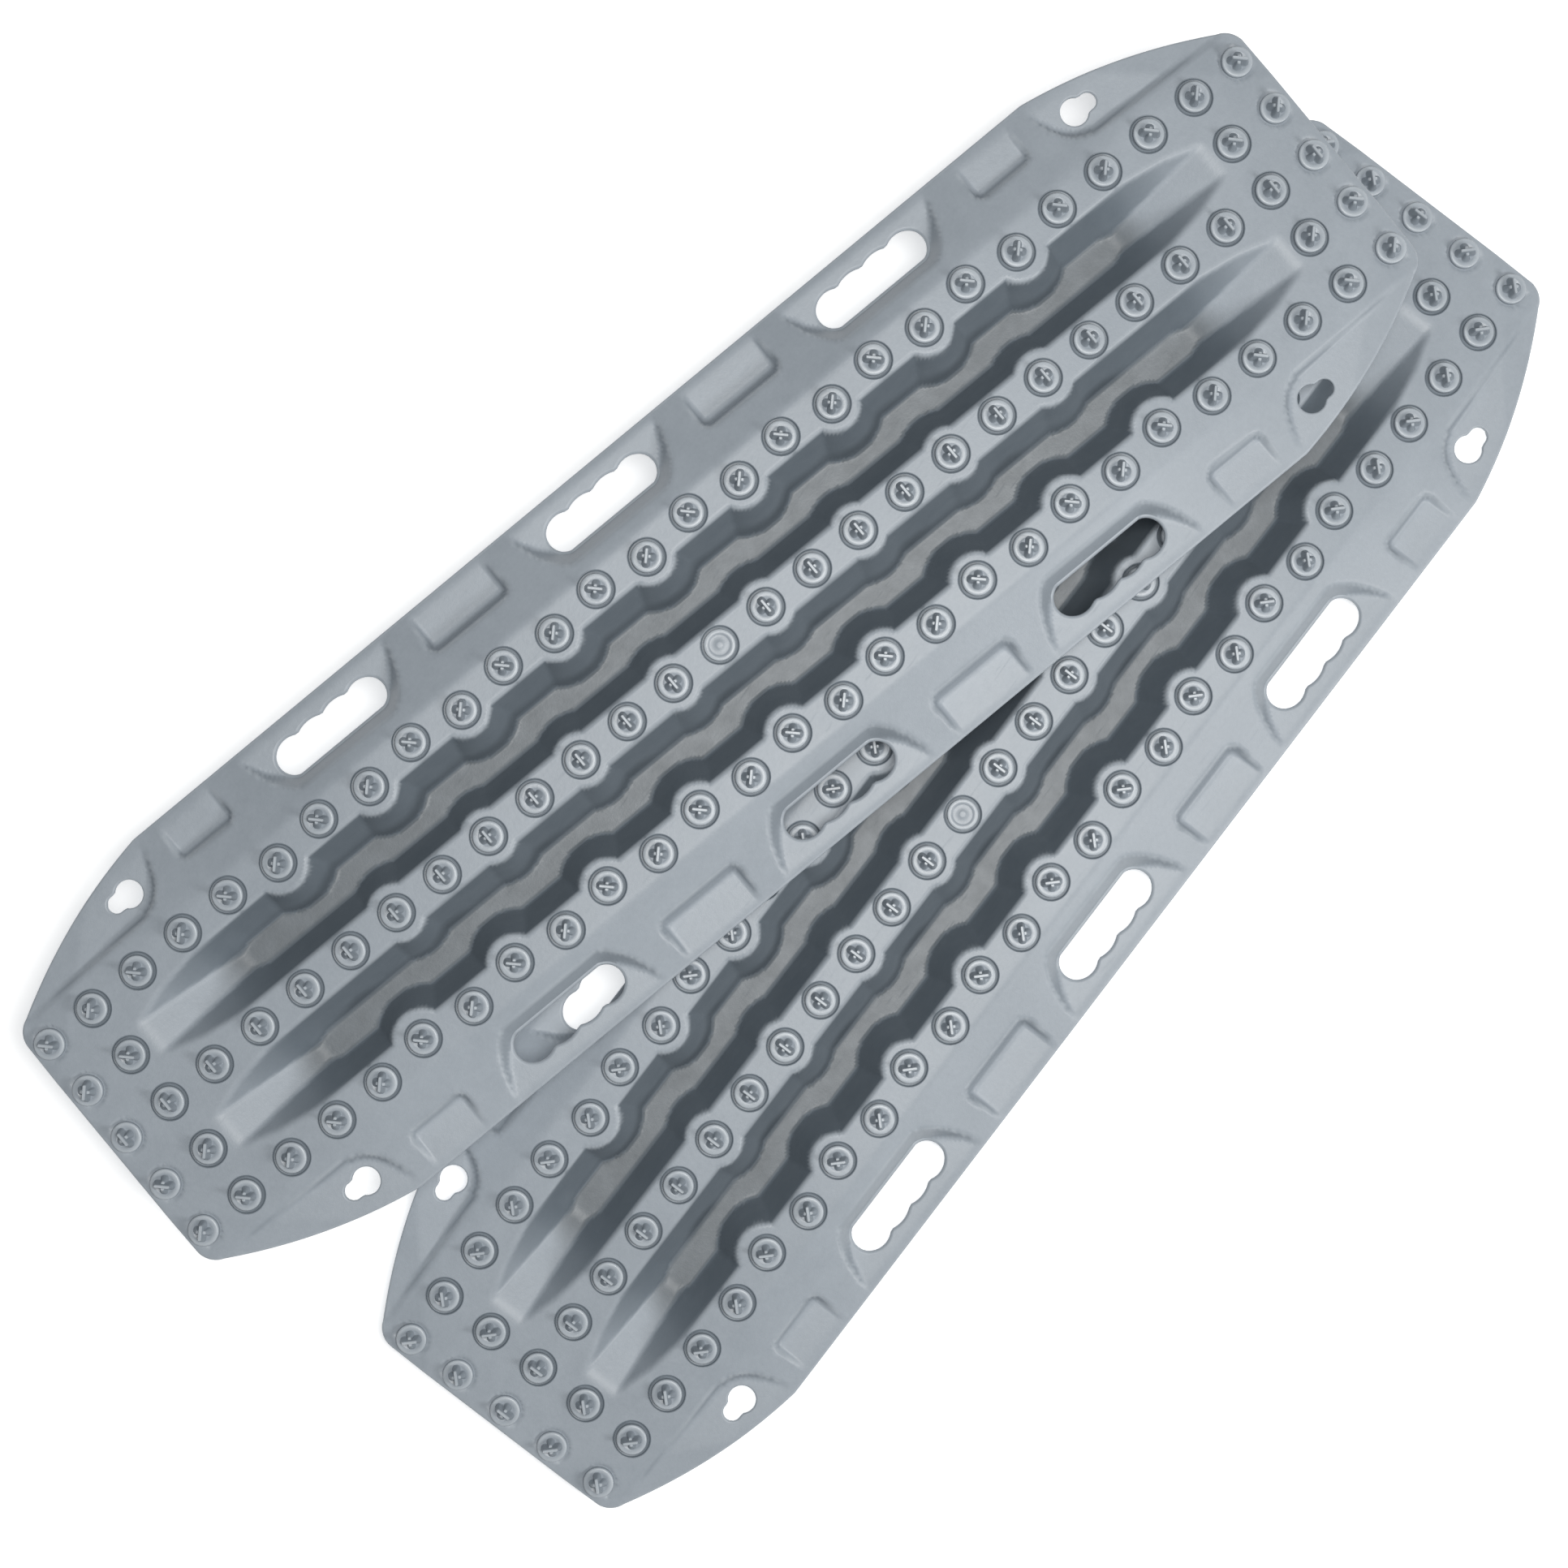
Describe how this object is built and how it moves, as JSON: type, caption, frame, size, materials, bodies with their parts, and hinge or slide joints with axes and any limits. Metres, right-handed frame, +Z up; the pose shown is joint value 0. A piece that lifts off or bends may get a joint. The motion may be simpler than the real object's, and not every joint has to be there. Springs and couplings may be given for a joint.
{
  "type": "tire traction mats",
  "caption": "Pair of long moulded vehicle recovery boards with raised cleats, side hand slots and corner keyholes, one laid fanned over the other.",
  "frame": {"origin": "on the ground under the middle of the pair's overall box", "axes": "+X along the lower board, +Y across it towards the side the upper board overhangs, +Z up"},
  "size_m": [1.138, 0.6192, 0.1258],
  "materials": {
    "board_body": "fine moulded grain, satin",
    "cleats": "fine moulded grain, satin",
    "gate_plug": "fine moulded grain with a faint swirl"
  },
  "bodies": {
    "lower_board": {"lower_shell": "board_body", "lower_left_row_cleats": "cleats", "lower_centre_row_cleats": "cleats", "lower_right_row_cleats": "cleats", "lower_near_end_cleats": "cleats", "lower_far_end_cleats": "cleats", "lower_gate_plug": "gate_plug"},
    "upper_board": {"upper_shell": "board_body", "upper_left_row_cleats": "cleats", "upper_centre_row_cleats": "cleats", "upper_right_row_cleats": "cleats", "upper_near_end_cleats": "cleats", "upper_far_end_cleats": "cleats", "upper_gate_plug": "gate_plug"}
  },
  "joints": [
    {"name": "stack_lift", "type": "slide", "parent": "lower_board", "child": "upper_board", "axis": [0, 0, 1], "range_m": [0, 0.25]}
  ]
}
